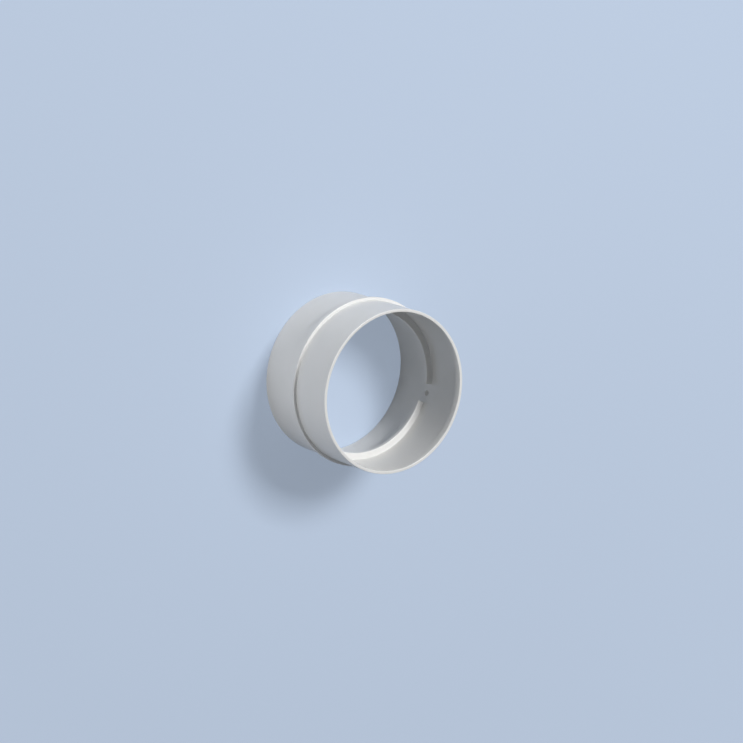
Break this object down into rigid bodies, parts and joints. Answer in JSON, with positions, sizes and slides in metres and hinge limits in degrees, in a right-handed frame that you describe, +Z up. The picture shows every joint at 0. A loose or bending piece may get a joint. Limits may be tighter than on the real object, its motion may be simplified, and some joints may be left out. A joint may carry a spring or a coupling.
{
  "type": "duct connector",
  "caption": "Short round duct connector: a plain spigot at each end, an outer collar at mid length, and two half-ring stops with a pair of small sockets in the open bore.",
  "frame": {"origin": "on the axis, in the plane of the lower rim that it stands on", "axes": "+Z up along the axis, from the lower rim to the upper rim; +Y along the line through the two sockets; +X to the middle of the lower half ring"},
  "size_m": [0.1034, 0.1034, 0.063],
  "materials": {
    "white_plastic": "satin, as moulded"
  },
  "bodies": {
    "root": {"duct_connector": "white_plastic"}
  },
  "joints": []
}
